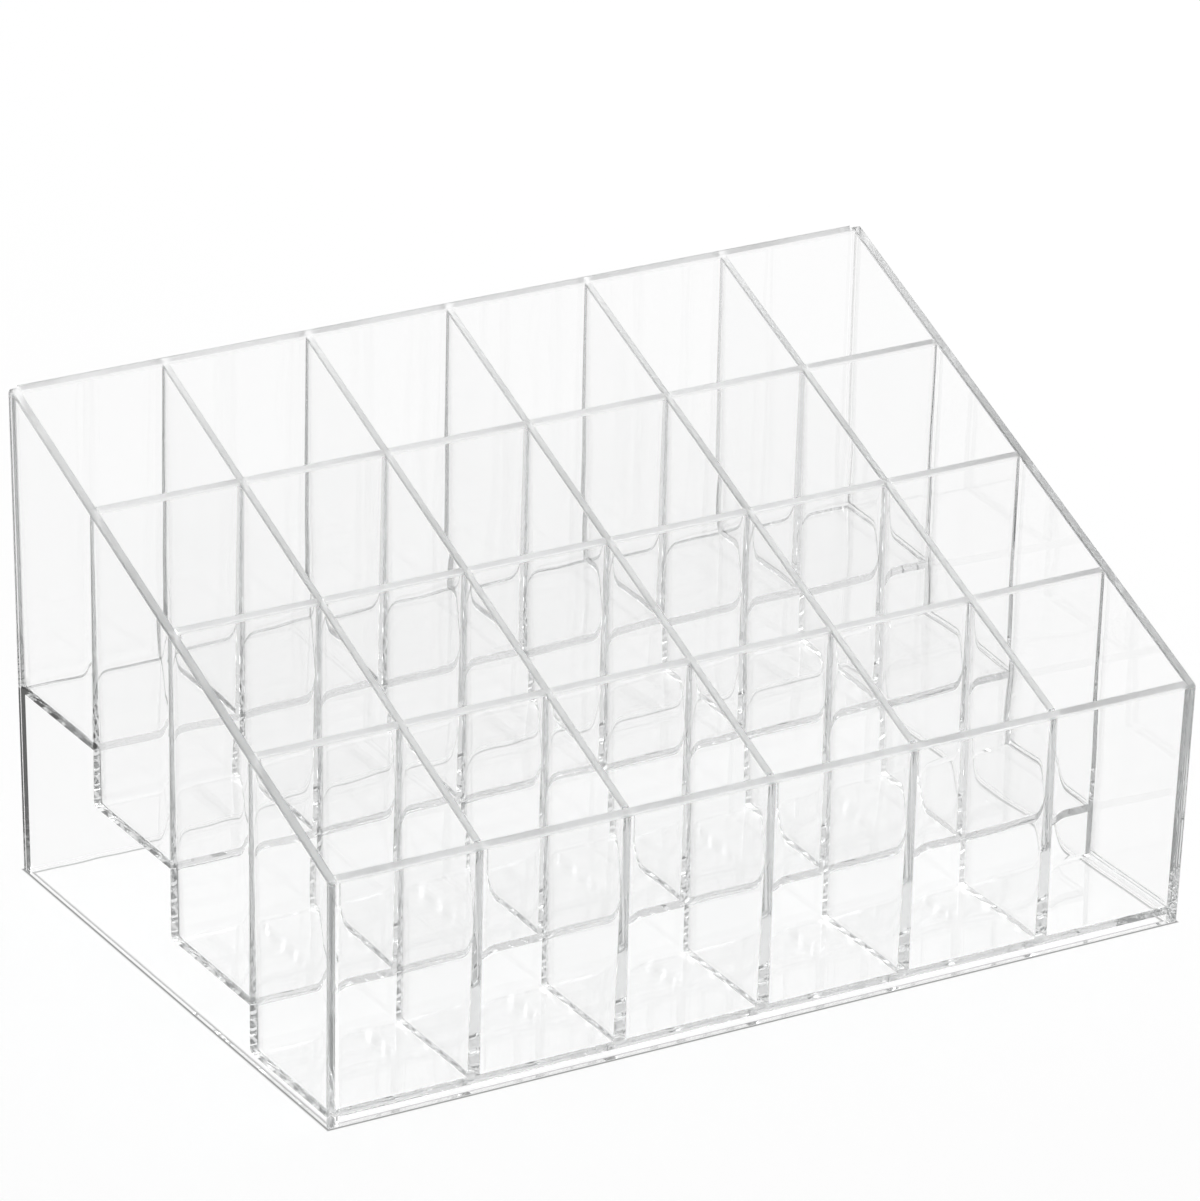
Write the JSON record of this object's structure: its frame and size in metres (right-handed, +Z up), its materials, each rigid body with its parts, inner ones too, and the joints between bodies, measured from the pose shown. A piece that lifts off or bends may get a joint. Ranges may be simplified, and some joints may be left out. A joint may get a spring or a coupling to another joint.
{
  "type": "vanity organizer",
  "caption": "Clear stepped vanity organizer with a sloped rim: square cells in rising tiers hold lipsticks and other slim cosmetics upright.",
  "frame": {"origin": "on the surface that the organizer stands on, under the middle of its outer box", "axes": "+Z up, -Y towards the low front, +X to the right as seen from the front"},
  "size_m": [0.1622, 0.1082, 0.086],
  "materials": {
    "clear_plastic": "clear, polished, colourless"
  },
  "bodies": {
    "root": {"left_end_wall": "clear_plastic", "right_end_wall": "clear_plastic", "front_wall": "clear_plastic", "back_wall": "clear_plastic", "riser_1": "clear_plastic", "riser_2": "clear_plastic", "riser_3": "clear_plastic", "tier_floor_1": "clear_plastic", "tier_floor_2": "clear_plastic", "tier_floor_3": "clear_plastic", "tier_floor_4": "clear_plastic", "divider_1": "clear_plastic", "divider_2": "clear_plastic", "divider_3": "clear_plastic", "divider_4": "clear_plastic", "divider_5": "clear_plastic"}
  },
  "joints": []
}
